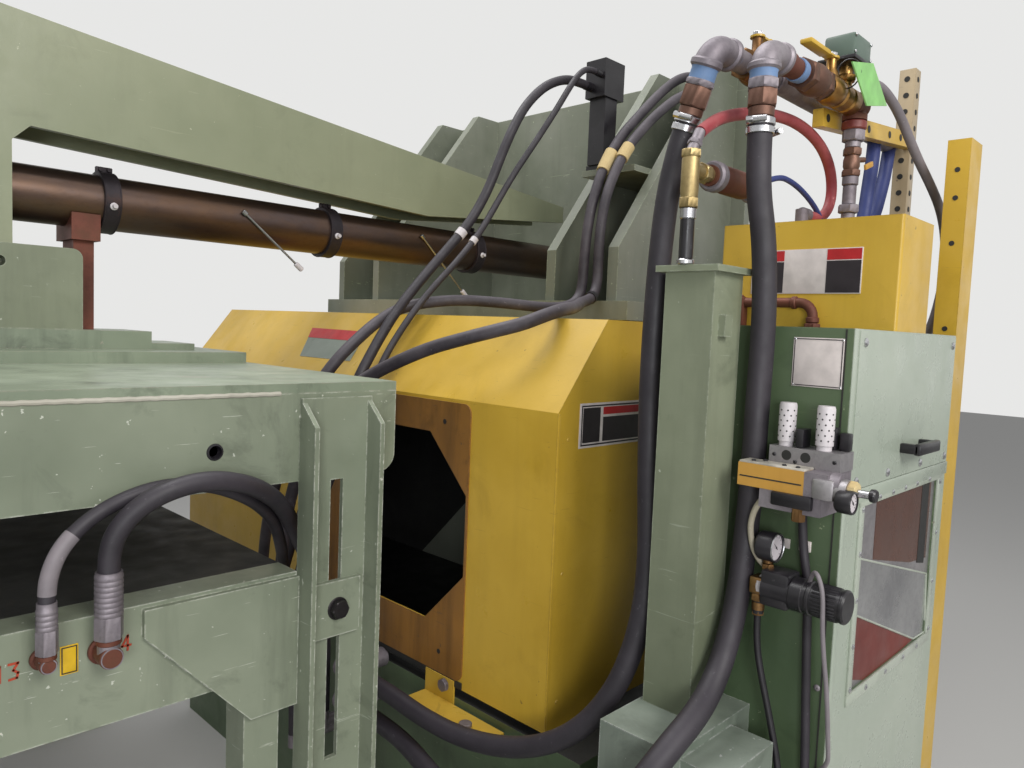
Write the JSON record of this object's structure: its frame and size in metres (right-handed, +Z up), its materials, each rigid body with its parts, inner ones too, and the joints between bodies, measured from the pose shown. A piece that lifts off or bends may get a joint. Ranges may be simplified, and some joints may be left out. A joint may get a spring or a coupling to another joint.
{
  "type": "blow molding machine",
  "caption": "Fixed blow molding machine with an extruder barrel on a green steel frame, a ribbed head wall, a yellow side guard and a service cabinet.",
  "frame": {"origin": "on the floor under the middle of the machine's plan", "axes": "+X along the extruder barrel towards the head wall, +Y from the service side to the far side, +Z up"},
  "size_m": [4.9, 2.8, 2.61],
  "materials": {
    "aluminium": "plain aluminium",
    "black_plastic": "black moulded plastic",
    "black_rubber": "matt black rubber",
    "brass": "dull brass",
    "bright_steel": "ground steel",
    "brown_panel": "aged orange-brown enamel",
    "clear_sheet": "clear sheet",
    "dark_paint": "dark sooty paint",
    "deck_green": "worn green enamel with bare edges",
    "green_paint": "satin sage green enamel with scuffs",
    "grey_paint": "grey-green enamel",
    "guard_yellow": "glossy safety yellow enamel",
    "heat_steel": "heat-stained steel",
    "pale_green": "glossy pale green enamel",
    "red_rubber": "dusty red rubber",
    "rusty_steel": "rusty steel",
    "white_plastic": "white plastic",
    "zinc": "dull zinc plating"
  },
  "bodies": {
    "machine": {"air_manifold": "aluminium", "air_regulator": "black_plastic", "arch_hose": "black_rubber", "arm_pads": "green_paint", "ball_valves": "brass", "barrel_bands": "rusty_steel", "barrel_saddle": "rusty_steel", "base_housing": "green_paint", "cabinet_door": "pale_green", "cabinet_window": "clear_sheet", "clamp_bed": "green_paint", "clamp_platens": "grey_paint", "column_plinth": "grey_paint", "deck_plate": "deck_green", "deck_slabs": "deck_green", "die_head": "heat_steel", "door_handle": "black_plastic", "drive_motor": "grey_paint", "exhaust_mufflers": "white_plastic", "extruder_barrel": "heat_steel", "feed_hopper": "bright_steel", "frame_legs": "green_paint", "gearbox": "green_paint", "guard_bracket": "guard_yellow", "guard_face_panel": "brown_panel", "guard_hood": "guard_yellow", "head_wall": "green_paint", "hose_fittings": "zinc", "left_water_hose": "black_rubber", "lower_beams": "green_paint", "lower_deck": "dark_paint", "lower_guard_hose": "black_rubber", "overhead_arm": "green_paint", "pipe_rail": "guard_yellow", "port_13_hose": "black_rubber", "port_14_hose": "black_rubber", "pressure_gauges": "zinc", "red_hose": "red_rubber", "regulator_hose": "black_rubber", "right_water_hose": "black_rubber", "service_cabinet": "green_paint", "service_column": "green_paint", "shutoff_valve": "zinc", "slide_valve": "guard_yellow", "slot_clamps": "green_paint", "slotted_posts": "green_paint", "strainer": "rusty_steel", "strainer_tee": "brass", "thin_arch_hose": "black_rubber", "tie_bars": "bright_steel", "upper_beams": "green_paint", "upper_guard_hose": "black_rubber", "valve_stack": "black_plastic", "wall_pedestal": "green_paint", "wall_ribs": "green_paint", "water_pipes": "zinc", "yellow_box": "guard_yellow", "yellow_end_post": "guard_yellow"},
    "left_lever": {"left_valve_lever": "guard_yellow"},
    "right_lever": {"right_valve_lever": "guard_yellow"}
  },
  "joints": [
    {"name": "left_lever_turn", "type": "hinge", "parent": "machine", "child": "left_lever", "pos_m": [0.225, -1.095, 2.2033], "axis": [0, 0, 1], "range_deg": [0, 90]},
    {"name": "right_lever_turn", "type": "hinge", "parent": "machine", "child": "right_lever", "pos_m": [0.388, -1.18, 2.1883], "axis": [0, 0, 1], "range_deg": [0, 90]}
  ]
}
